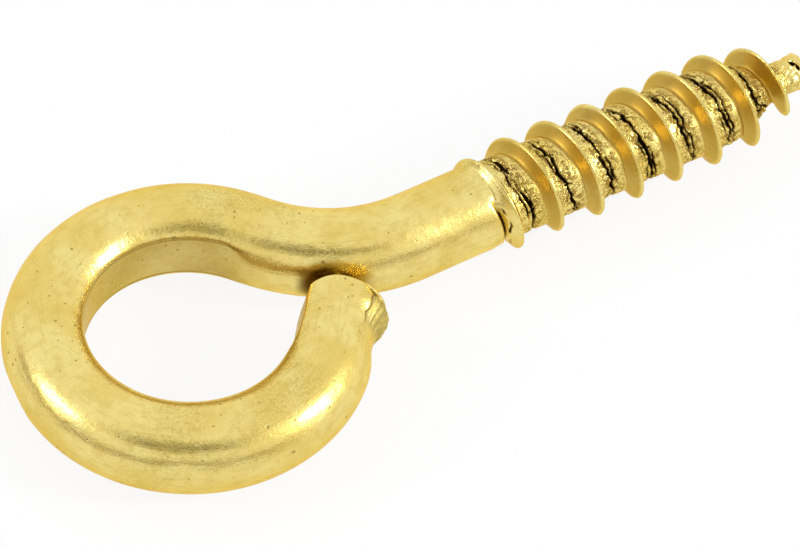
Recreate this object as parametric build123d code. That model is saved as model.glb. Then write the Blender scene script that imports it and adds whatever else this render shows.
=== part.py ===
"""Closed brass screw eye, bent and rolled from one round wire.

Everything is in millimetres and degrees. The wire is built about the screw's own axis along +X, with the eye's
centre at the origin and the eye in the XY plane. The finished piece is then tilted about Y, by about a degree,
so that it lies on a table as it comes to rest: on the far side of the eye and on the lowest crest of the thread.
"""

import os
from math import asin, cos, degrees, radians, sin

from build123d import *

# ---- the wire and the eye ----
WIRE_DIAMETER = 3.43
EYE_HOLE_DIAMETER = 7.85
MANDREL_PRESS = 0.34  # how far the mandrel flattened the inside of the wire
EYE_END_ANGLE = -40.0  # where the eye stops bending, seen from its centre, measured from the screw's axis
TAIL_LENGTH = 2.9  # the straight last stretch of the wire, which stops just short of the neck
NECK_BEND_RADIUS = 6.7
NECK_BEND_ANGLE = 53.0
SCREW_LEAN = 1.1  # the neck stops bending this much too soon, so the screw leans to one side

# ---- the sheared end of the wire ----
BURR_REACH = 0.2  # how far the shear dragged a lobe of metal past the outside of the wire
BURR_RADIUS = 1.15
BURR_SETBACK = 0.85  # from the cut to the lobe's middle
END_CHAMFER = 0.12

# ---- the screw ----
REACH = 28.0  # from the eye's centre to the end of the point
THREAD_START = 12.9
THREAD_PITCH = 25.4 / 14
THREAD_MAJOR_DIAMETER = 4.26
THREAD_ROOT_DIAMETER = 3.28
THREAD_RUN_IN = 2.0  # length over which the first turn rises to its full height
RIDGE_BASE_WIDTH = 0.95  # along the axis, at the root
TIP_RIDGE_BASE_WIDTH = 1.3  # the same, where the core has narrowed under the last turns
RIDGE_CREST_WIDTH = 0.26
CREST_ROUNDING = 0.05
FLANK_HOLLOW = 0.03  # how far the middle of each flank sinks from straight
FLANK_HOLLOW_ANGLE = 4.0  # and how far it turns inwards
CREST_LEAD_ANGLE = 34.0  # where the crest at CREST_LEAD_REACH lies, turned from +Y towards +Z
CREST_LEAD_REACH = 14.85

# ---- the point ----
POINT_LENGTH = 3.4  # the core narrows over this length, up to the blunt stub
STUB_DIAMETER = 1.38
STUB_LENGTH = 1.25
STUB_CHAMFER = 0.16
CREST_FADE_LENGTH = 3.8  # this far from the end the crests begin to come down to the stub

wire_radius = WIRE_DIAMETER / 2
eye_radius = EYE_HOLE_DIAMETER / 2 + wire_radius - MANDREL_PRESS  # to the middle of the wire
crest_radius = THREAD_MAJOR_DIAMETER / 2
root_radius = THREAD_ROOT_DIAMETER / 2
stub_radius = STUB_DIAMETER / 2
taper_start = REACH - STUB_LENGTH - POINT_LENGTH

# The neck bends away from the axis, runs straight for a little, and meets the eye's circle on a tangent.
bend_sin = sin(radians(NECK_BEND_ANGLE))
bend_cos = cos(radians(NECK_BEND_ANGLE))
neck_run = (eye_radius * bend_cos - NECK_BEND_RADIUS * (1 - bend_cos)) / bend_sin
neck_start = (eye_radius + NECK_BEND_RADIUS) * bend_sin + neck_run * bend_cos
eye_start_angle = 90 - NECK_BEND_ANGLE
bend_centre = Vector(neck_start, NECK_BEND_RADIUS, 0)


def wire_section(plane):
    """The round section of the wire, on a plane square to its run."""
    return plane * Circle(wire_radius)


def bent_wire(centre, start_angle, sweep_angle, radius):
    """A bend of the wire in the XY plane: the section turned about an upright axis through centre."""
    outward = Vector(cos(radians(start_angle)), sin(radians(start_angle)), 0)
    along = Vector(-outward.Y, outward.X, 0)
    section = wire_section(Plane(origin=centre + outward * radius, x_dir=(0, 0, 1), z_dir=along))
    return revolve(section, axis=Axis(centre, (0, 0, 1)), revolution_arc=sweep_angle)


def straight_wire(start, direction, length):
    """A straight run of the wire in the XY plane."""
    return extrude(wire_section(Plane(origin=start, x_dir=(0, 0, 1), z_dir=direction)), length)


def eye_and_neck():
    """The eye, the straight run that leaves it and the bend back towards the screw's axis."""
    loop = bent_wire(Vector(0, 0, 0), eye_start_angle, 360 + EYE_END_ANGLE - eye_start_angle, eye_radius)
    tangent_point = Vector(eye_radius * bend_sin, eye_radius * bend_cos, 0)
    leave = Vector(bend_cos, -bend_sin, 0)
    run = straight_wire(tangent_point, leave, neck_run)
    bend = bent_wire(bend_centre, -90 - NECK_BEND_ANGLE, NECK_BEND_ANGLE - SCREW_LEAN, NECK_BEND_RADIUS)
    return loop + run + bend

def mandrel():
    """The round bar that the eye was bent on. It leaves the inside of the eye flat across."""
    return Cylinder(EYE_HOLE_DIAMETER / 2, 2 * WIRE_DIAMETER)

def sheared_tail():
    """The straight last stretch, cut square by the shear, with the lobe that the shear dragged out of its side.

    Built along local +Y from the end of the bend, with local +X pointing away from the eye.
    """
    wire = extrude(wire_section(Plane(origin=(0, 0, 0), x_dir=(0, 0, 1), z_dir=(0, 1, 0))), TAIL_LENGTH)
    wire = chamfer(wire.edges().sort_by(Axis.Y)[-1], END_CHAMFER)
    lobe = Pos(wire_radius + BURR_REACH - BURR_RADIUS, TAIL_LENGTH - BURR_SETBACK, 0) * Sphere(BURR_RADIUS)
    beyond = Pos(0, TAIL_LENGTH, 0) * Box(
        8 * wire_radius, 4 * wire_radius, 8 * wire_radius, align=(Align.CENTER, Align.MIN, Align.CENTER)
    )
    tail = wire + (lobe - beyond)
    return Rot(0, 0, EYE_END_ANGLE) * Pos(eye_radius, 0, 0) * tail

def thread_section(root, base_width):
    """One cut square across the thread: a round root that swells to the crest on its +X side.

    Turned steadily as it rises, this cut makes the whole thread, with hollow flanks and a rounded crest.
    """
    def at(radius, angle):
        return radius * cos(radians(angle)), radius * sin(radians(angle))

    foot = 180 * base_width / THREAD_PITCH
    land = 180 * RIDGE_CREST_WIDTH / THREAD_PITCH
    shoulder = crest_radius - CREST_ROUNDING
    middle = (root + crest_radius) / 2 - FLANK_HOLLOW
    waist = (foot + land) / 2 - FLANK_HOLLOW_ANGLE
    return Face(
        Wire(
            [
                ThreePointArc(at(root, foot), at(root, 180), at(root, -foot)),
                Spline([at(root, -foot), at(middle, -waist), at(shoulder, -land)]),
                ThreePointArc(at(shoulder, -land), at(crest_radius, 0), at(shoulder, land)),
                Spline([at(shoulder, land), at(middle, waist), at(root, foot)]),
            ]
        )
    )

def threaded_rod(root, base_width, start, end):
    """A rod along local +Z with the right-hand thread on it, its crest passing through the lead point."""
    turns = (end - start) / THREAD_PITCH
    lead = CREST_LEAD_ANGLE - 360 * (CREST_LEAD_REACH - start) / THREAD_PITCH
    rod = Solid.extrude_linear_with_rotation(
        thread_section(root, base_width), (0, 0, 0), (0, 0, end - start), 360 * turns
    )
    return Pos(0, 0, start) * Rot(0, 0, lead) * rod

def crest_envelope():
    """What the thread may reach: it rises over its first turn and comes down towards the point."""
    clear_of_crest = crest_radius + 0.3
    outline = Polyline(
        (0, THREAD_START - 1),
        (wire_radius - 0.05, THREAD_START - 1),
        (wire_radius, THREAD_START),
        (clear_of_crest, THREAD_START + THREAD_RUN_IN),
        (clear_of_crest, REACH - CREST_FADE_LENGTH),
        (stub_radius + 0.03, REACH - STUB_LENGTH * 0.6),
        (stub_radius + 0.03, REACH),
        (0, REACH),
        close=True,
    )
    return revolve(Plane.XZ * make_face(outline), axis=Axis.Z)

def fused_on_axis(piece, round_piece):
    """Two pieces on local +Z made one. The seam of the round one is turned until the fuse finds where they meet."""
    whole = piece
    for seam in range(85, 85 + 360, 35):
        whole = piece + Rot(0, 0, seam) * round_piece
        if len(whole.solids()) == 1:
            break
    return whole

def point():
    """The last turns on a core that narrows to the blunt stub, along local +Z."""
    overlap = 0.1
    lead_turn = Rot(0, 0, CREST_LEAD_ANGLE - 360 * (CREST_LEAD_REACH - taper_start) / THREAD_PITCH)
    tip_thread = threaded_rod(stub_radius * 0.8, TIP_RIDGE_BASE_WIDTH, taper_start, REACH - STUB_LENGTH / 2)
    taper = Pos(0, 0, taper_start - overlap) * Cone(
        root_radius - 0.02, stub_radius, POINT_LENGTH + overlap, align=(Align.CENTER, Align.CENTER, Align.MIN)
    )
    stub = Pos(0, 0, REACH - STUB_LENGTH - overlap) * Cylinder(
        stub_radius - 0.01, STUB_LENGTH + overlap, align=(Align.CENTER, Align.CENTER, Align.MIN)
    )
    stub = chamfer(stub.edges().sort_by(Axis.Z)[-1], STUB_CHAMFER)
    turns = fused_on_axis(tip_thread, lead_turn * taper) & crest_envelope()
    return fused_on_axis(turns, lead_turn * stub)

def screw():
    """Shank, thread and point, laid along +X: local +X goes to +Y and local +Y to +Z.

    The whole screw is then turned about the middle of the neck's bend, by what that bend falls short.
    """
    plain_length = THREAD_START + THREAD_RUN_IN / 2 - neck_start
    shank = Pos(0, 0, neck_start) * extrude(Circle(wire_radius), plain_length)
    thread = threaded_rod(root_radius, RIDGE_BASE_WIDTH, THREAD_START - 1, taper_start)
    threaded = fused_on_axis(thread & crest_envelope(), shank) + point()
    laid = Plane(origin=(0, 0, 0), x_dir=(0, 1, 0), z_dir=(1, 0, 0)).location * threaded
    return Location(bend_centre) * Rot(0, 0, -SCREW_LEAN) * Location(-bend_centre) * laid

def rest_tilt():
    """The tilt that brings the far side of the eye and the lowest full crest down to one level."""
    turns = (270 - CREST_LEAD_ANGLE) / 360
    lowest_crest = CREST_LEAD_REACH + turns * THREAD_PITCH
    return degrees(asin((crest_radius - wire_radius) / (lowest_crest + eye_radius)))


def screw_eye():
    """The whole piece: one solid."""
    whole = (eye_and_neck() - mandrel()) + screw()
    whole += sheared_tail() - mandrel()
    return Rot(0, -rest_tilt(), 0) * whole

if __name__ == "__main__":
    os.makedirs("parts", exist_ok=True)
    part = screw_eye()
    print("neck run", round(neck_run, 3), "neck start", round(neck_start, 3), "eye radius", round(eye_radius, 3))
    print("rest tilt", round(rest_tilt(), 3), "solids", len(part.solids()), "valid", part.is_valid)
    print("volume", round(part.volume, 2), "box", part.bounding_box())
    export_step(part, "parts/screw_eye.step")
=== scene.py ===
# %% [markdown]
# # A brass screw eye
#
# A screw eye is one round brass wire. One end is bent round a bar into a ring and sheared off just short of the
# neck; the other end is rolled into a wood thread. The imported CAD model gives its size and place. This lesson makes
# the surface that a close look shows: the worn drawn wire, the torn root of the thread and the sheared end.

import bpy
import numpy as np
from mathutils import Matrix, Vector


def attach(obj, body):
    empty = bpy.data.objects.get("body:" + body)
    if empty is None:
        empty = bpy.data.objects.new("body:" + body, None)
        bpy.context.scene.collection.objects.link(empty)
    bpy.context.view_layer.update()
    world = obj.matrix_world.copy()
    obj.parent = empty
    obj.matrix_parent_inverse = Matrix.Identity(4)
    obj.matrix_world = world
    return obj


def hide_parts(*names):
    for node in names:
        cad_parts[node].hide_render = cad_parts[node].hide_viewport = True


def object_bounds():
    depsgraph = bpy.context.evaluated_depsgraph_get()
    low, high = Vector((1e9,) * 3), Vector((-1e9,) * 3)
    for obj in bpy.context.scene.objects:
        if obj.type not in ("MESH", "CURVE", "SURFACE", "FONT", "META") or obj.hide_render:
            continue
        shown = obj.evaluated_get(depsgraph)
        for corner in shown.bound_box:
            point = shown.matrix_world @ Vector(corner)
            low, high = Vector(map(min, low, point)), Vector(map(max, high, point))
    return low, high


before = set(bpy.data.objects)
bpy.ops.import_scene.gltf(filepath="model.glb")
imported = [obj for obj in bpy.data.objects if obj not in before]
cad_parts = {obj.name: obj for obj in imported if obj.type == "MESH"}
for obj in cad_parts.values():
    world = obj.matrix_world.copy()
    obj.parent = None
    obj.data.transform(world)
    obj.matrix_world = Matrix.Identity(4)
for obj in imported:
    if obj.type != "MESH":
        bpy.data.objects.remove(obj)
cad_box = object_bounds()
print("CAD box, mm:", [[round(c * 1000, 2) for c in corner] for corner in cad_box])

# %% [markdown]
# The wire's own sizes, in millimetres, as the CAD model has them. The ring lies flat with its centre at the
# origin, and the screw runs along +X. At the end everything is tilted by about a degree, to the way it rests.

# %% Sizes of the wire
wire_radius = 1.715
hole_radius = 3.925
pressed_depth = 0.34  # the bar pressed the inside of the ring flat by this much
ring_radius = hole_radius + wire_radius - pressed_depth
tail_angle = -40.0
tail_length = 2.9
neck_angle = 53.0
neck_radius = 6.7
screw_lean = 1.1
reach = 28.0
thread_start = 12.9
pitch = 25.4 / 14
crest_radius = 2.13
root_radius = 1.64
crest_lead = 14.85  # the crest is here, measured along the screw, ...
crest_lead_angle = np.radians(34.0)  # ... on this side of it, turned from +Y towards +Z
stub_length = 1.25
stub_radius = 0.70
rest_tilt = np.radians(1.1143)
print("radius of the ring's middle line, mm:", round(ring_radius, 2))

# %% [markdown]
# A bent wire is known by its heading: the way it points as you walk along it. On a straight stretch the heading
# stays, and on a bend it turns steadily. Adding up small steps along the heading gives the wire's line. The neck is
# a straight run and a bend back, and the run is as long as it takes to bring the screw onto the ring's middle line.

# %% Walk along the wire
neck_cos, neck_sin = np.cos(np.radians(neck_angle)), np.sin(np.radians(neck_angle))
neck_run = (ring_radius * neck_cos - neck_radius * (1 - neck_cos)) / neck_sin
neck_start = (ring_radius + neck_radius) * neck_sin + neck_run * neck_cos
ring_sweep = 360 + tail_angle - (90 - neck_angle)
stretches = [  # length in mm, and how far the heading turns over it in degrees
    (tail_length, 0.0),
    (ring_radius * np.radians(ring_sweep), -ring_sweep),
    (neck_run, 0.0),
    (neck_radius * np.radians(neck_angle - screw_lean), neck_angle - screw_lean),
    (reach - neck_start, 0.0),
]
marks = np.cumsum([0.0] + [length for length, turn in stretches])
headings = np.radians(tail_angle - 90 + np.cumsum([0.0] + [turn for length, turn in stretches]))
wire_length = marks[-1]
screw_mark = marks[-2] - neck_start  # what to take from a distance along the wire to get one along the screw
print("wire length, mm:", round(wire_length, 2))

walk = np.linspace(0, wire_length, 40001)
walk_heading = np.interp(walk, marks, headings)
step = walk[1] - walk[0]
walk_x = np.concatenate([[0], np.cumsum(np.cos((walk_heading[1:] + walk_heading[:-1]) / 2) * step)])
walk_y = np.concatenate([[0], np.cumsum(np.sin((walk_heading[1:] + walk_heading[:-1]) / 2) * step)])
start = np.radians(tail_angle)
walk_x += ring_radius * np.cos(start) - tail_length * np.sin(start)
walk_y += ring_radius * np.sin(start) + tail_length * np.cos(start)
print("the walk ends at, mm:", round(walk_x[-1], 2), round(walk_y[-1], 2))

# %% [markdown]
# The surface is one grid. One parameter goes along the wire and the other goes round it. The thread needs rows
# about 0.04 mm apart to show its thin crest and the cracks in its root; the plain ring needs far fewer. A third field,
# the share, is 1 on the wire's side and shrinks to 0 over each end, so the two end faces are part of the same grid.

# %% The grid's parameters
columns = 176
face_rows, tip_rows = 14, 9
tail_mark = 3.2  # the sheared end has closer rows as far as this
thread_mark = thread_start - 1.1 + screw_mark  # and the thread has them from here
side_rows = np.concatenate(
    [
        np.linspace(0.0, tail_mark, 58, endpoint=False),
        np.linspace(tail_mark, thread_mark, 104, endpoint=False),
        np.linspace(thread_mark, wire_length, 378),
    ]
)
rows = np.concatenate([np.zeros(face_rows), side_rows, np.full(tip_rows, wire_length)])
shares = np.concatenate(
    [np.linspace(0, 1, face_rows, endpoint=False), np.ones(len(side_rows)), np.linspace(1, 0, tip_rows + 1)[1:]]
)
around = np.linspace(0, 2 * np.pi, columns, endpoint=False)
along, round_it = np.meshgrid(rows, around, indexing="ij")
share = shares[:, None] * np.ones(columns)
screw_x = along - screw_mark
print("rows and columns:", along.shape)

# %% [markdown]
# Nothing on a worn part is exactly even. Sums of smooth waves, with seeded random sizes and phases, give a gentle
# unevenness that is the same each time the script runs. A torn edge is not smooth, so it follows a random zigzag.

# %% Seeded unevenness
def waves(u, v, seed, long_waves, turns, count=14):
    """A smooth random field of about -1 to 1.

    The sum of count cosine waves; each has up to long_waves radians per unit of u and a whole number of turns
    in v, up to turns, so that the field meets itself round the wire.
    """
    draw = np.random.default_rng(seed)
    rate_u = draw.uniform(-long_waves, long_waves, count)
    rate_v = draw.integers(-turns, turns + 1, count)
    phase = draw.uniform(0, 2 * np.pi, count)
    total = np.zeros_like(u)
    for a, b, c in zip(rate_u, rate_v, phase):
        total += np.cos(a * u + b * v + c)
    return total / np.sqrt(count)


def zigzag(path, seed, spacing):
    """Straight lines between random values, -1 to 1, drawn at points spacing apart along the path."""
    knots = np.arange(path.min() - spacing, path.max() + 2 * spacing, spacing)
    return np.interp(path, knots, np.random.default_rng(seed).uniform(-1, 1, len(knots)))


def smooth_step(x, low, high):
    """0 below low, 1 above high, and an S-shaped cubic between them."""
    t = np.clip((x - low) / (high - low), 0, 1)
    return t * t * (3 - 2 * t)


def bump(x, middle, width):
    """A bell of height 1 and the given half-width about its middle."""
    return np.exp(-(((x - middle) / width) ** 2))


def turned_from(middle):
    """How far each point's angle round the wire is from a middle one in degrees, by the shorter way, in degrees."""
    return (np.degrees(round_it) - middle + 180) % 360 - 180


# %% [markdown]
# The thread is a ridge wound round the shank. At each point its phase says how far along the screw the nearest
# crest is, counted in pitches. The ridge has a thin rounded crest and hollow flanks. The path says how far round the
# helix the point is, in radians, and goes on growing from turn to turn.

# %% Shape of the thread
turns = (screw_x - crest_lead) / pitch - (round_it - crest_lead_angle) / (2 * np.pi)
phase = turns - np.round(turns)
phase_up = turns - np.floor(turns)  # 0 at a crest, growing to 1 at the next
path = round_it + 2 * np.pi * np.floor(turns)


def ridge_height(phase):
    """0 at the root and 1 at the crest: a short rounded land, then a flank that falls along a power curve."""
    land, foot_near, foot_far = 0.034, 0.205, 0.135
    foot = np.where(phase < 0, foot_near, foot_far)
    hollow = np.where(phase < 0, 1.15, 1.5)
    fall = np.clip((np.abs(phase) - land) / (foot - land), 0, 1)
    crown = 1 - 0.06 * np.clip(np.abs(phase) / land, 0, 1) ** 2
    return np.where(fall > 0, 0.94 * (1 - fall) ** hollow, crown)


crest_drop = 0.68  # how much lower the crest is at the end of the last turn
crest_rise = 0.7 * smooth_step(screw_x, 12.6, 13.3) + 0.3 * smooth_step(screw_x, 13.0, 14.6)
core_fall = smooth_step(screw_x, reach - stub_length - 3.0, reach - stub_length)
crest_fall = smooth_step(screw_x, reach - 3.7, reach - 1.1)
core = wire_radius + (root_radius - wire_radius) * smooth_step(screw_x, thread_start - 0.3, thread_start + 0.7)
core += (stub_radius - root_radius) * core_fall
crest = crest_radius - crest_drop * crest_fall
crest += (stub_radius - crest) * smooth_step(screw_x, reach - 1.30, reach - 0.80)
crest = core + (crest - core) * crest_rise
crest -= 0.035 * np.clip(waves(turns * 6, round_it, 3, 2.5, 2), 0, 2) * crest_rise
ragged = smooth_step(screw_x, reach - 2.5, reach - 1.8)
crest -= 0.10 * ragged * np.clip(zigzag(path, 4, 0.45), 0, 1) * (crest > core + 0.05)
ridge = ridge_height(phase) * (screw_x > thread_start - 1.4)
radius = core + (crest - core) * ridge
print("thread radius from", round(float(radius.min()), 2), "to", round(float(radius.max()), 2))

# %% [markdown]
# Rolling squeezes the metal out of the root into the ridge. Cheap soft brass tears there: one long jagged crack
# follows each turn, with a broken one on each side of it and short ones across, and the metal between is lumpy.

# %% Torn root
def crack(line, wiggle, width, seed, gaps):
    """Depth 0 to 1 of a jagged crack along the thread: a V-shaped groove about a zigzag line, with gaps in it."""
    wander = 0.6 * zigzag(path, seed, 0.36) + 0.4 * zigzag(path, seed + 1, 0.11)
    breadth = width * (0.35 + 0.65 * (zigzag(path, seed + 2, 0.17) + 1) / 2)
    kept = np.clip(0.5 + 1.6 * (zigzag(path, seed + 3, 0.5) + 1 - 2 * gaps), 0, 1)
    return kept * np.clip(1.15 - np.abs(phase_up - line - wiggle * wander) / breadth, 0, 1)


def cross_crack(line, reach_each_way, every, seed):
    """Short cracks across the root: narrow grooves at random places along the path, slanting a little."""
    slant = path + 0.9 * (phase_up - line) * zigzag(path, seed, 1.4)
    cell = np.floor(slant / every)
    spot = (cell + 0.5 + 0.35 * np.sin(cell * 12.9898 + seed)) * every
    within = np.clip(1 - np.abs(phase_up - line) / reach_each_way, 0, 1) > 0.05
    return within * np.clip(1 - np.abs(slant - spot) / 0.030, 0, 1) * (np.sin(cell * 78.233 + seed) > 0.1)


lump_height, root_wear, crack_depth = 0.042, 0.03, 0.19
torn_and_shaded = crack(0.41, 0.085, 0.058, 11, 0.16)
torn_and_shaded = np.maximum(torn_and_shaded, 0.9 * crack(0.50, 0.075, 0.038, 21, 0.50))
torn_and_shaded = np.maximum(torn_and_shaded, 0.8 * crack(0.31, 0.060, 0.032, 31, 0.58))
torn_and_shaded = np.maximum(torn_and_shaded, 0.8 * cross_crack(0.43, 0.11, 0.40, 41))
torn_and_shaded *= smooth_step(screw_x, thread_start + 0.1, thread_start + 0.9) * (1 - smooth_step(screw_x, 26.2, 26.9))
lumps = 0.5 * waves(screw_x * 9, round_it, 31, 3.0, 30, 30) + 0.5 * waves(screw_x * 20, round_it, 32, 2.5, 60, 30)
lumpy = bump(phase_up, 0.36, 0.20) * smooth_step(screw_x, thread_start - 0.1, thread_start + 0.6)
lumpy *= 1 - 0.6 * smooth_step(screw_x, reach - 1.6, reach - 1.2)
radius += lumpy * (lump_height * lumps - root_wear) - crack_depth * torn_and_shaded
print("share of the grid that is cracked:", round(float((torn_and_shaded > 0.3).mean()), 4))

# %% [markdown]
# The first ridge was pushed up out of the plain shank. Between them, round the lower side, is a short deep groove
# where the rolling tool bit in, with torn metal along it.

# %% Where the thread starts
bite_depth, mark_depth = 0.20, 0.07
bite_zone = smooth_step(turned_from(200), -82, -50) * (1 - smooth_step(turned_from(200), 60, 100))
bite_line = turns + 1.26 + 0.022 * zigzag(path, 5, 0.3)
bite = bite_zone * np.clip(1.1 - np.abs(bite_line) / 0.066, 0, 1)
mark_line = np.abs(turns + 1.17 + 0.035 * zigzag(path, 6, 0.13))
bite_marks = bite_zone * np.clip(1.0 - mark_line / 0.022, 0, 1) * np.clip(0.2 + zigzag(path, 7, 0.16), 0, 1)
radius -= bite_depth * np.clip(bite, 0, 1) ** 0.8 + mark_depth * np.clip(bite_marks, 0, 1)
torn_and_shaded = np.maximum(torn_and_shaded, np.maximum(0.62 * smooth_step(bite, 0.50, 1.0), 0.9 * bite_marks))
print("deepest bite, mm:", round(bite_depth * float(np.clip(bite, 0, 1).max()), 2))

# %% [markdown]
# Back on the plain wire: drawing it through a die left faint lengthwise ridges, and tumbling in a drum with other
# parts left shallow dents. Each dent is a bell-shaped hollow at a random place.

# %% Worn wire
plain = 1 - smooth_step(screw_x, thread_start - 0.4, thread_start + 0.1)
radius += plain * (
    0.008 * waves(along, round_it, 41, 0.9, 3) + 0.0035 * waves(along, round_it, 42, 2.5, 12, 24) - 0.010
)
dents = 46
draw = np.random.default_rng(43)
for dent in range(dents):
    spot, angle = draw.uniform(2.0, thread_mark + 0.8), draw.uniform(0, 360)
    length, width, depth = draw.uniform(0.25, 1.1), draw.uniform(0.15, 0.45), draw.uniform(0.006, 0.024)
    sideways = np.radians(turned_from(angle)) * wire_radius
    radius -= depth * bump(along, spot, length) * bump(sideways, 0, width)
print("dents:", dents)

# %% [markdown]
# The point was never finished. The thread runs out over a blunt stub with a crumpled end, a hole where metal is
# missing, and a flake that stands off the last root.

# %% The blunt stub
stub = smooth_step(screw_x, reach - 1.5, reach - 0.9)
radius += stub * (0.045 * waves(screw_x * 3, round_it, 51, 2.5, 4) + 0.03 * waves(screw_x * 9, round_it, 52, 2.0, 14))
hole_depth, flake_height, flake_gap_depth = 0.28, 0.09, 0.13
flake_x, flake_angle = 25.42, 198
chamfer_length, chamfer_share = 0.22, 0.22  # in mm, and as a share of the radius
hole = bump(screw_x, reach - 0.52, 0.15) * bump(turned_from(92), 0, 13)
hole = np.maximum(hole, 0.9 * bump(screw_x, reach - 0.40, 0.07) * bump(turned_from(114), 0, 16))
radius -= hole_depth * hole
from_flake = turned_from(flake_angle)
flake_edge = np.hypot((screw_x - flake_x) / 0.34, from_flake / 24) + 0.10 * zigzag(round_it, 53, 0.2)
flake = 1 - smooth_step(flake_edge, 0.84, 0.98)
flake_gap = bump(flake_edge, 1.10, 0.12) * (from_flake - 40 * (screw_x - flake_x) < 4)
radius += flake_height * flake - flake_gap_depth * flake_gap
torn_and_shaded = np.maximum(torn_and_shaded * (1 - flake), np.maximum(smooth_step(hole, 0.35, 0.6), flake_gap * 0.95))
end_left = np.clip(wire_length - along, 0, None)
chamfer = 1 - np.clip(end_left / chamfer_length, 0, 1)
radius *= 1 - chamfer_share * (1 - np.sqrt(np.clip(1 - chamfer**2, 0, 1)))
print("stub radius, mm:", round(float(radius[-tip_rows - 12].mean()), 2))

# %% [markdown]
# The wire was cut by a shear as the ring was closed. The blade spread the end into a lobe on the outer side,
# scraped a rough stripe beside it, and left a notch at the rim. The cut face leans, so the end is longer outside.

# %% The sheared end
lobe_height, waist_depth, rim_length, rim_depth = 0.33, 0.16, 0.14, 0.13
scrape_depth, scratch_depth, notch_depth = 0.060, 0.020, 0.24
set_back, inner_set_back = 0.27, 0.80
outer = np.clip(np.cos(round_it), 0, 1)
radius += lobe_height * bump(along, 0.76, 0.60) * outer**2 - waist_depth * bump(along, 2.3, 0.8) * outer**2
rim = 1 - np.clip(along / rim_length, 0, 1)
radius -= rim_depth * (1 - np.sqrt(1 - rim**2))
stripe_edge = turned_from(0) - 43 - 4 * np.clip(along - 0.9, 0, 2) ** 2 + 3.0 * zigzag(along, 54, 0.25)
scraped = 1 - smooth_step(stripe_edge, -2.5, 2.5)
stripe = smooth_step(turned_from(0), -75, -45) * smooth_step(along, 0.10, 0.24)
scraped *= stripe * (1 - smooth_step(along, 1.5, 2.2))
scratches = waves(along * 0.4 + 0.3 * round_it, round_it, 55, 1.0, 70, 30)
radius -= scraped * (scrape_depth + scratch_depth * scratches)
notch = bump(along, 0.26, 0.10) * bump(turned_from(36), 0, 11)
radius -= notch_depth * notch
torn_and_shaded = np.maximum(torn_and_shaded, smooth_step(notch, 0.4, 0.75))
torn_and_shaded = np.maximum(torn_and_shaded, 0.30 * bump(stripe_edge, 0, 2.2) * smooth_step(scraped, 0.02, 0.3))
lift = np.where(share < 1, 0.035 * waves(share * 6, round_it, 61, 3.0, 3) * np.clip(3 * (1 - share), 0, 1), 0)
lean = set_back + inner_set_back * np.clip(-share * np.cos(round_it), 0, 1) ** 1.7
start_shift = (lean + lift) * (1 - np.clip(along / 2.4, 0, 1)) ** 1.5
broken = np.where(share < 1, 0.05 + 0.05 * waves(share * 4, round_it, 62, 3.0, 3), 0) * np.clip(2 * (1 - share), 0, 1)
place_along = np.where(along < wire_length / 2, along + start_shift, along - np.clip(broken, 0, None))
rim_shift = start_shift[face_rows]
print("sheared end set back by, mm:", rim_shift.min().round(2), "to", rim_shift.max().round(2))

# %% [markdown]
# Now the grid is carried along the wire's line. Each point goes out from the line by its radius, partly sideways
# and partly up. The points inside the ring are pushed back to the bar that pressed them flat. The outside of the ring
# has three small worn flats.

# %% From the parameters to space
wall_shoulder = 0.04


def carry(s, v, r, wall):
    """Points at radius r and angle v round the wire's line at distance s; 0 is its left side, a quarter turn is up.

    On the right side no point goes further out than the wall: there it is pushed back over a rounded shoulder.
    """
    x = np.interp(s, walk, walk_x)
    y = np.interp(s, walk, walk_y)
    heading = np.interp(s, walk, walk_heading)
    side = wall_shoulder * np.logaddexp(0, (r * np.cos(v) + wall) / wall_shoulder) - wall
    return np.stack([x - np.sin(heading) * side, y + np.cos(heading) * side, r * np.sin(v)], axis=-1)


def press_flat(points, facing, depth, soft):
    """Points past a plane sink back to it over a soft edge; the plane cuts depth off the furthest point that way."""
    normal = np.array(facing) / np.linalg.norm(facing)
    reached = points @ normal
    sink = soft * np.logaddexp(0, (reached - reached.max() + depth) / soft)
    return points - sink[..., None] * normal


wall = ring_radius - hole_radius - 0.03 * (1 - smooth_step(along, 0.0, 1.2))
wall -= 0.22 * np.clip(radius * share * np.sin(round_it), 0, 1.4) * (1 - smooth_step(along, 1.8, 4.6))
wall += 2.0 * smooth_step(along, marks[3] - 0.8, marks[3] + 2.2)
surface = carry(place_along, round_it, radius * share, wall)
surface = press_flat(surface, (-0.93, 0.17, -0.33), 0.11, 0.018)
surface = press_flat(surface, (-0.45, -0.70, 0.30), 0.035, 0.02)
surface = press_flat(surface, (0.10, 0.85, 0.52), 0.030, 0.02)
print("surface box, mm:", surface.reshape(-1, 3).min(0).round(2), surface.reshape(-1, 3).max(0).round(2))

# %% [markdown]
# The first and last rows of the grid are single points, the middles of the two end faces. Each is kept once, and
# triangles join it to the row beside it. Then the points are tilted by a degree, to the way the part rests.

# %% The mesh
def grid_points(field):
    """One value per point of the closed surface: the first row once, the rows between, and the last row once."""
    width = field.shape[2:]
    return np.concatenate([field[0, :1], field[1:-1].reshape(-1, *width), field[-1, :1]])


def closed_grid_faces(ring_count, columns):
    """Quads between neighbouring rows, and triangles from each end's middle point to the row beside it."""
    ring = np.arange(ring_count - 1)[:, None] * columns + 1
    here = np.arange(columns)[None, :]
    there = (here + 1) % columns
    quads = np.stack([ring + here, ring + there, ring + columns + there, ring + columns + here], -1).reshape(-1, 4)
    here, there = here[0], there[0]
    first = np.stack([np.zeros(columns, int), 1 + there, 1 + here], -1)
    last_ring = 1 + (ring_count - 1) * columns
    last = np.stack([np.full(columns, last_ring + columns), last_ring + here, last_ring + there], -1)
    return quads, first, last


def tilt(points):
    """Turns points about the Y axis by the rest tilt, so that the point of the screw rises."""
    c, s = np.cos(rest_tilt), np.sin(rest_tilt)
    return points @ np.array([[c, 0, s], [0, 1, 0], [-s, 0, c]])


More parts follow.
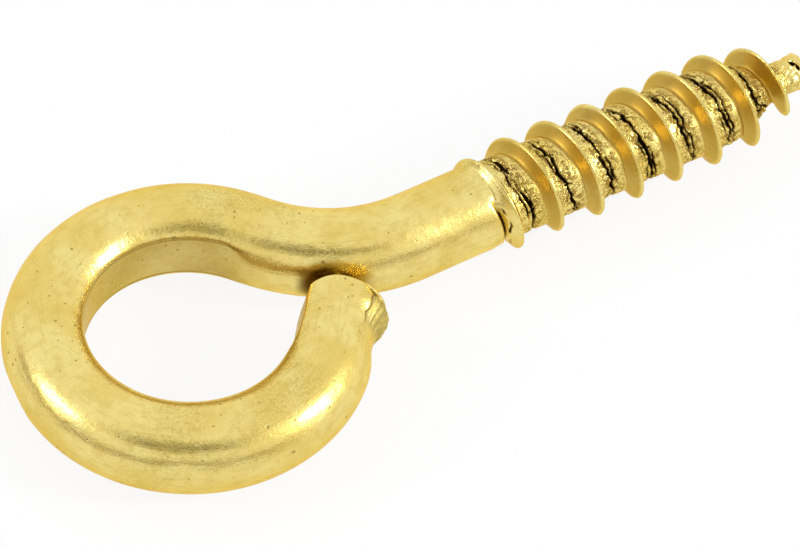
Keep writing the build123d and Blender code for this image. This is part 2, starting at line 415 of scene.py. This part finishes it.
quads, first, last = closed_grid_faces(len(rows) - 2, columns)
print("triangles:", 2 * len(quads) + len(first) + len(last))
mesh = bpy.data.meshes.new("brass_wire")
placed = tilt(grid_points(surface)) / 1000
mesh.from_pydata(placed.tolist(), [], quads.tolist() + first.tolist() + last.tolist())
mesh.shade_smooth()
screw_eye = bpy.data.objects.new("brass_screw_eye", mesh)
bpy.context.scene.collection.objects.link(screw_eye)
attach(screw_eye, "root")
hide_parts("screw_eye")

# %% [markdown]
# The finish follows the surface, so the mesh carries what the material needs, from 0 to 1 at each point: how torn it
# is, which also sets the painted shade in the cracks and gaps, how scraped it is, whether it lies in a flank or in the
# root of the thread, how much painted shade and reflection the flanks and the pressed inside of the ring get, and how
# much painted shade falls in the gap beside the sheared end. It also carries each point's place on the straightened
# wire in millimetres, in which die lines and scratches run lengthwise even round the ring.

# %% Attributes for the finish
def give(name, field):
    """Stores one number per point as an attribute of the mesh."""
    mesh.attributes.new(name, "FLOAT", "POINT").data.foreach_set("value", grid_points(field).astype(np.float32))


# Painted shade and reflection in the hollow flanks of the thread, strongest on one side of the screw; the same mask
# makes the flanks rougher and flatter in relief.
flank_shade = smooth_step(phase_up, 0.70, 0.80) * (1 - smooth_step(phase_up, 0.93, 0.968))
flank_shade *= smooth_step(screw_x, 14.0, 14.9)
flank_shade *= 1 - smooth_step(screw_x, 26.4, 27.1)
flank_shade *= 0.62 + 0.38 * bump(turned_from(112), 0, 62)
in_root = np.clip(1.7 * (1 - np.abs(phase_up - 0.43) / 0.35), 0, 1) * smooth_step(screw_x, 13.2, 14.2)
give("torn_and_shaded", torn_and_shaded)
give("flank", flank_shade)
give("recess", in_root * (1 - smooth_step(screw_x, 26.4, 27.2)))
give("scraped", scraped)
on_ring = 1 - smooth_step(along, marks[3] - 0.5, marks[3] + 0.8)
from_inside = np.abs(turned_from(180))
on_tail = 1 - smooth_step(along, 2.2, 4.0)
# Painted shade and reflection on the pressed inside of the ring: a dark line along its top edge, more of it on the
# sheared tail, uneven along the wire.
wall_line = 0.95 * bump(from_inside, 33.0, 3.0)
uneven_wall_shade = 0.82 + 0.18 * waves(along * 0.5, round_it, 63, 2.0, 4)
wall_shade = uneven_wall_shade * (1 - smooth_step(from_inside, 27, 37))
tail_shade = 0.7 * on_tail * (1 - smooth_step(from_inside, 34 + 8 * on_tail, 37 + 9 * on_tail))
wall_shade = np.maximum.reduce([wall_line * (1 - on_tail), 0.50 * wall_shade, tail_shade])
give("wall_shade", on_ring * wall_shade * (share > 0.99))
# Painted shade on the neck, in the gap beside the sheared end.
end_middle = np.array([walk_x[0], walk_y[0], 0.0])
end_facing = -np.array([np.cos(walk_heading[0]), np.sin(walk_heading[0]), 0.0])
gap = (surface - end_middle) @ end_facing
sideways = np.linalg.norm(surface - end_middle - gap[..., None] * end_facing, axis=-1)
gap_shade = (1 - smooth_step(gap, 0.1, 1.15)) * (1 - smooth_step(sideways, 1.05, 1.95)) * (along > marks[2] - 3)
give("gap_shade", gap_shade)
straightened = np.stack([along, radius * share * np.cos(round_it), radius * share * np.sin(round_it)], axis=-1)
straight_layer = mesh.attributes.new("straight", "FLOAT_VECTOR", "POINT")
straight_layer.data.foreach_set("vector", grid_points(straightened).astype(np.float32).ravel())
print("points:", len(mesh.vertices))

# %% [markdown]
# A node material is easier to read when each node takes one line. This helper empties a material's node tree and
# gives back a function that adds a node to it, by its kind, with each socket filled or linked.

# %% A helper for node materials
def painter(tree):
    """Empties a node tree; returns a function that adds one node and fills or links its sockets."""
    tree.nodes.clear()

    def node(kind, inputs=None, **settings):
        made = tree.nodes.new("ShaderNode" + kind)
        for name, value in settings.items():
            setattr(made, name, value)
        for key, value in (inputs or {}).items():
            if isinstance(value, bpy.types.NodeSocket):
                tree.links.new(value, made.inputs[key])
            else:
                made.inputs[key].default_value = value
        return made

    return node


brass = bpy.data.materials.new("worn_brass")
brass.use_nodes = True
node = painter(brass.node_tree)


def noise(vector, scale, detail=3.0, roughness=0.55):
    """Cloudy noise, about 0.3 to 0.7, with the given number of clouds per unit of the vector."""
    sockets = {"Vector": vector, "Scale": scale, "Detail": detail, "Roughness": roughness}
    return node("TexNoise", sockets).outputs["Fac"]


def between(value, low, high, to_low=0.0, to_high=1.0):
    """The value stretched so that low gives to_low and high gives to_high, held there beyond them."""
    sockets = {"Value": value, "From Min": low, "From Max": high, "To Min": to_low, "To Max": to_high}
    return node("MapRange", sockets, interpolation_type="SMOOTHSTEP").outputs["Result"]


def sum_of(a, b):
    """a + b; each is a socket or a number."""
    return node("Math", {0: a, 1: b}, operation="ADD").outputs[0]


def times(a, b):
    """a times b; each is a socket or a number."""
    return node("Math", {0: a, 1: b}, operation="MULTIPLY").outputs[0]


def mixed(amount, a, b):
    """Colour a going over to colour b as amount goes from 0 to 1; a colour is a socket or three numbers."""
    a, b = (colour if isinstance(colour, bpy.types.NodeSocket) else (*colour, 1.0) for colour in (a, b))
    return node("Mix", {0: amount, 6: a, 7: b}, data_type="RGBA").outputs[2]


def attribute(name, output="Fac"):
    """One of the mesh's attributes, read as a number, or as a vector when output is Vector."""
    return node("Attribute", attribute_name=name).outputs[output]


print("material:", brass.name)


# %% [markdown]
# Worn brass is not one colour. Under the bright yellow there are deeper golden clouds, olive tarnish in patches that
# break up into specks, and small dark pits. Over them go painted shade and reflection: brown in the hollow flanks of
# the thread and on the pressed inside of the ring, dark brown in the gap beside the sheared end, and almost black in
# the cracks.

# %% Colour of the brass
straight = attribute("straight", "Vector")
drawn = node("Mapping", {"Vector": straight, "Scale": (0.14, 1.0, 1.0)}, vector_type="POINT").outputs["Vector"]
clouds = noise(straight, 0.45, 4.0, 0.6)
grain = noise(straight, 9.0, 3.0, 0.7)
die_lines = noise(drawn, 6.0, 4.0, 0.7)
patches = noise(straight, 0.30, 2.0, 0.5)
fine = noise(straight, 24.0, 2.0, 0.6)
mottles = noise(straight, 2.3, 5.0, 0.68)

colour = mixed(between(clouds, 0.32, 0.68), (0.90, 0.745, 0.275), (0.80, 0.61, 0.165))
colour = mixed(between(mottles, 0.46, 0.66, 0.0, 0.42), colour, (0.66, 0.49, 0.115))
colour = mixed(between(die_lines, 0.50, 0.72, 0.0, 0.40), colour, (0.62, 0.47, 0.12))
olive_specks = times(between(patches, 0.50, 0.66), between(sum_of(grain, times(fine, 0.5)), 0.70, 0.86))
colour = mixed(times(olive_specks, 0.38), colour, (0.40, 0.33, 0.08))
colour = mixed(between(grain, 0.56, 0.74, 0.0, 0.30), colour, (0.58, 0.43, 0.10))
colour = mixed(between(fine, 0.52, 0.70, 0.0, 0.22), colour, (0.50, 0.36, 0.08))
pits = node("TexVoronoi", {"Vector": straight, "Scale": 2.1}).outputs["Distance"]
pit_size = between(noise(straight, 0.8, 2.0, 0.5), 0.42, 0.62, -0.06, 0.05)
pit = between(sum_of(sum_of(pits, pit_size), times(mottles, 0.40)), 0.235, 0.285, 1.0, 0.0)
colour = mixed(times(pit, 0.55), colour, (0.20, 0.135, 0.030))
flank = attribute("flank")
# Painted shade and reflection: brown in the hollow flanks of the thread.
colour = mixed(times(flank, 0.95), colour, (0.45, 0.27, 0.034))
# Painted shade and reflection: brown on the pressed inside of the ring.
colour = mixed(attribute("wall_shade"), colour, (0.34, 0.215, 0.040))
# Painted shade: dark brown on the neck in the gap beside the sheared end.
colour = mixed(between(attribute("gap_shade"), 0.0, 0.75), colour, (0.12, 0.060, 0.012))
crumbs = between(noise(straight, 4.2, 4.0, 0.68), 0.46, 0.62)
crumbled = times(attribute("recess"), crumbs)
colour = mixed(times(crumbled, 0.80), colour, (0.34, 0.205, 0.03))
scraped_here = attribute("scraped")
scrape_streaks = between(die_lines, 0.38, 0.60, 0.35, 0.85)
colour = mixed(times(scraped_here, scrape_streaks), colour, (0.36, 0.31, 0.11))
# Painted shade: brown round the cracks, the notch, the hole, the gaps and the edge of the scraped stripe, and almost
# black inside them.
torn_shade = sum_of(attribute("torn_and_shaded"), times(grain, 0.30))
colour = mixed(times(between(torn_shade, 0.20, 0.40), 0.80), colour, (0.22, 0.125, 0.020))
colour = mixed(between(torn_shade, 0.42, 0.62), colour, (0.016, 0.009, 0.004))
print("colour nodes:", len(brass.node_tree.nodes))

# %% [markdown]
# The roughness changes with the same clouds, and small bumps break up the reflections: broad ripples from the
# tumbling, die lines along the wire, grain, and lumps in the root of the thread.

# %% Gloss and fine relief
gloss = sum_of(between(clouds, 0.30, 0.70, 0.165, 0.26), between(grain, 0.35, 0.70, 0.0, 0.08))
gloss = sum_of(gloss, times(scraped_here, 0.30))
gloss = sum_of(gloss, times(flank, 0.16))
bump_depth = 0.000022  # in metres
ripples = noise(straight, 1.1, 2.0, 0.5)
relief = sum_of(ripples, times(die_lines, 0.28))
for part, size in ((mottles, 0.85), (grain, 0.20), (crumbled, -2.2), (pit, -0.25)):
    relief = sum_of(relief, times(part, size))
relief = times(relief, between(flank, 0.1, 0.9, 1.0, 0.3))
bumped = node("Bump", {"Height": relief, "Strength": 1.0, "Distance": bump_depth})
sockets = {"Base Color": colour, "Metallic": 1.0, "Roughness": gloss, "Normal": bumped.outputs[0]}
shader = node("BsdfPrincipled", {**sockets, "Specular Tint": (1.0, 0.82, 0.45, 1.0)})
node("OutputMaterial", {"Surface": shader.outputs["BSDF"]})
mesh.materials.append(brass)
print("nodes in all:", len(brass.node_tree.nodes))

# %% [markdown]
# The stage is a plain white floor under a white sky. Seen directly or in a reflection the sky is white and the floor
# mostly glows; for other light they are an ordinary pale floor and a soft sky. The floor still takes a faint shadow.

# %% Floor and sky
def seen_or_reflected(node):
    """1 for rays from the camera and from glossy and clear surfaces, and 0 for other rays."""
    rays = node("LightPath").outputs
    direct = node("Math", {0: rays["Is Camera Ray"], 1: rays["Is Glossy Ray"]}, operation="MAXIMUM").outputs[0]
    return node("Math", {0: direct, 1: rays["Is Transmission Ray"]}, operation="MAXIMUM").outputs[0]


scene = bpy.context.scene
floor_mesh = bpy.data.meshes.new("floor")
half, height = 1.5, cad_box[0][2]
corners = [(-half, -half, height), (half, -half, height), (half, half, height), (-half, half, height)]
floor_mesh.from_pydata(corners, [], [(0, 1, 2, 3)])
floor = bpy.data.objects.new("floor", floor_mesh)
scene.collection.objects.link(floor)
floor_paint = bpy.data.materials.new("pale_floor")
floor_paint.use_nodes = True
node = painter(floor_paint.node_tree)
plain_white = node("BsdfDiffuse", {"Color": (0.92, 0.92, 0.92, 1)}).outputs[0]
glow = node("Emission", {"Color": (1, 1, 1, 1)}).outputs[0]
glow_share = times(seen_or_reflected(node), 0.88)
node("OutputMaterial", {"Surface": node("MixShader", {0: glow_share, 1: plain_white, 2: glow}).outputs[0]})
floor_mesh.materials.append(floor_paint)

sky = bpy.data.worlds.new("studio")
sky.use_nodes = True
scene.world = sky
node = painter(sky.node_tree)
strength = node("MapRange", {"Value": seen_or_reflected(node), "To Min": 0.75, "To Max": 1.0}).outputs["Result"]
background = node("Background", {"Color": (1, 1, 1, 1), "Strength": strength}).outputs[0]
node("OutputWorld", {"Surface": background})
print("floor at, mm:", round(height * 1000, 3))

# %% [markdown]
# A long lens 184 mm away looks down at the part from 50 degrees above the floor, turned 36 degrees round it and rolled
# a little. The camera's axes are worked out beside the untilted part, and then tilted with it.

# %% Camera
view_turn = np.radians(35.59)
view_height = np.radians(50.09)
view_roll = np.radians(4.45)
view_distance = 183.9
right = np.array([1.0, 0, 0])
back = np.array([0, -np.cos(view_height), np.sin(view_height)])
up = np.cross(back, right)
rolled_right = np.cos(view_roll) * right + np.sin(view_roll) * up
rolled_up = -np.sin(view_roll) * right + np.cos(view_roll) * up
turn = np.array([[np.cos(view_turn), -np.sin(view_turn), 0], [np.sin(view_turn), np.cos(view_turn), 0], [0, 0, 1]])
axes = np.array([rolled_right, rolled_up, back]) @ turn  # rows: the camera's own axes, seen from the untilted part
eye_in_view = np.array([-7.918, -2.337, -view_distance])  # the ring's centre as the camera has it
camera_place = tilt(-axes.T @ eye_in_view) / 1000
camera_axes = tilt(axes)
camera_data = bpy.data.cameras.new("camera")
camera_data.lens = 221.14
camera_data.sensor_width = 36
camera_data.clip_start, camera_data.clip_end = 0.01, 10
camera = bpy.data.objects.new("camera", camera_data)
scene.collection.objects.link(camera)
camera.matrix_world = Matrix.Translation(Vector(camera_place)) @ Matrix(camera_axes.T.tolist()).to_4x4()
scene.camera = camera
scene.view_settings.view_transform = "Standard"
print("camera at, mm:", (camera_place * 1000).round(1))

# %% [markdown]
# Two softboxes stand low at the sides and give the long highlights. A metal surface shows whatever is round it, so
# dark cards stand where a studio is dark: behind the camera, and low round the front. Each has a wider, paler card
# behind it, which softens its edge. They show only in reflections.

# %% Lamps and dark cards
aim = np.array([0.009, 0.0, 0.0])
lamp_distance = 0.6


def toward(azimuth, elevation):
    """A direction in the part's frame; azimuth 0 is to the camera's right and 90 is away from it, in degrees."""
    a, e = np.radians(azimuth), np.radians(elevation)
    room = np.stack([np.cos(a) * np.cos(e), np.sin(a) * np.cos(e), np.sin(e)], axis=-1)
    return tilt(room @ turn)


def lamp(name, azimuth, elevation, width, height, power):
    """A rectangular soft lamp at lamp_distance from the part, facing it."""
    data = bpy.data.lights.new(name, "AREA")
    data.shape = "RECTANGLE"
    data.size, data.size_y, data.energy = width, height, power
    made = bpy.data.objects.new(name, data)
    scene.collection.objects.link(made)
    direction = toward(azimuth, elevation)
    facing = Vector(direction).to_track_quat("Z", "Y").to_matrix().to_4x4()
    made.matrix_world = Matrix.Translation(Vector(aim + lamp_distance * direction)) @ facing
    made.visible_camera = False


def card(name, azimuths, elevations, distance, shade):
    """A strip of a sphere about the part between two azimuths and two elevations, of one dull colour."""
    steps_round, steps_up = 41, 5
    a, e = np.meshgrid(np.linspace(*azimuths, steps_round), np.linspace(*elevations, steps_up), indexing="ij")
    points = (aim + distance * toward(a, e)).reshape(-1, 3)
    corner = (np.arange(steps_round - 1)[:, None] * steps_up + np.arange(steps_up - 1)).ravel()
    faces = np.stack([corner, corner + 1, corner + steps_up + 1, corner + steps_up], -1)
    card_mesh = bpy.data.meshes.new(name)
    card_mesh.from_pydata(points.tolist(), [], faces.tolist())
    made = bpy.data.objects.new(name, card_mesh)
    scene.collection.objects.link(made)
    paint = bpy.data.materials.new(name)
    paint.use_nodes = True
    node = painter(paint.node_tree)
    node("OutputMaterial", {"Surface": node("Emission", {"Color": (*shade, 1)}).outputs[0]})
    card_mesh.materials.append(paint)
    made.visible_camera = made.visible_shadow = made.visible_diffuse = False


lamp("right_softbox", -5.6, 29, 0.12, 0.14, 1.7)
lamp("left_softbox", -166.8, 28.6, 0.20, 0.16, 0.75)
card("camera_card", (-118, -62), (45, 57), 0.50, (0.20, 0.18, 0.11))
card("camera_surround", (-132, -48), (40, 61), 0.52, (0.50, 0.47, 0.36))
card("low_card", (-195, -35), (3, 8), 0.50, (0.14, 0.10, 0.05))
card("low_surround", (-200, -28), (1, 12), 0.52, (0.60, 0.52, 0.38))
print("lamps and cards are up")
